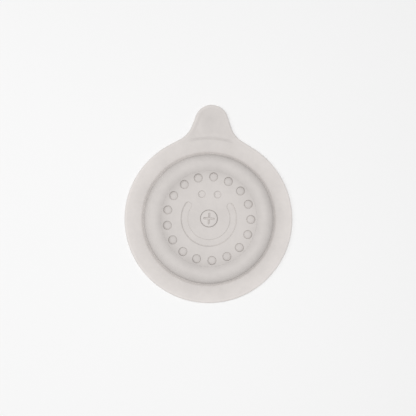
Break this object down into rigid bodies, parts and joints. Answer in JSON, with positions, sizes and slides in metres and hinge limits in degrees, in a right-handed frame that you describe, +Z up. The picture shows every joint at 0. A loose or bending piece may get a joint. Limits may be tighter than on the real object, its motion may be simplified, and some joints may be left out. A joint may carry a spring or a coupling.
{
  "type": "drain stopper",
  "caption": "Flat round silicone bath drain stopper with a sealing skirt, a raised bead, a recessed perforated face plate clamped by a central cross-head screw, and a pull tab at its rim.",
  "frame": {"origin": "centre of the round disc, on the plane that the underside rests on", "axes": "+Z up out of the drain, +Y from the disc's centre along the pull tab, +X to the right of the tab seen from above"},
  "size_m": [0.125, 0.1481, 0.0086],
  "materials": {
    "silicone_skirt": "matte moulded silicone, warm light grey",
    "silicone_tab": "matte moulded silicone, warm light grey",
    "silicone_web": "matte moulded silicone, warm light grey",
    "silicone_bead": "matte moulded silicone, warm light grey",
    "plate_plastic": "satin moulded plastic, warm light grey",
    "silicone_floor": "matte moulded silicone, warm light grey",
    "clamp_plastic": "satin moulded plastic, warm light grey",
    "insert_brass": "turned brass",
    "washer_rubber": "matte rubber, grey",
    "screw_plastic": "satin moulded plastic, warm light grey"
  },
  "bodies": {
    "skirt": {"sealing_flange": "silicone_skirt", "flex_web": "silicone_web"},
    "core": {"bead_ring": "silicone_bead", "face_plate": "plate_plastic", "silicone_floor": "silicone_floor", "clamp_disc": "clamp_plastic", "threaded_insert": "insert_brass", "sealing_washer": "washer_rubber", "centre_screw": "screw_plastic"},
    "tab": {"pull_tab": "silicone_tab"}
  },
  "joints": [
    {"name": "core_press", "type": "slide", "parent": "skirt", "child": "core", "axis": [0, 0, -1], "range_m": [0, 0.002], "stiffness_N_per_m": 4000, "deforming": ["flex_web"]},
    {"name": "tab_lift", "type": "hinge", "parent": "skirt", "child": "tab", "pos_m": [0, 0.0616, 0.0024], "axis": [1, 0, 0], "range_deg": [0, 75], "stiffness_Nm_per_rad": 0.015}
  ]
}
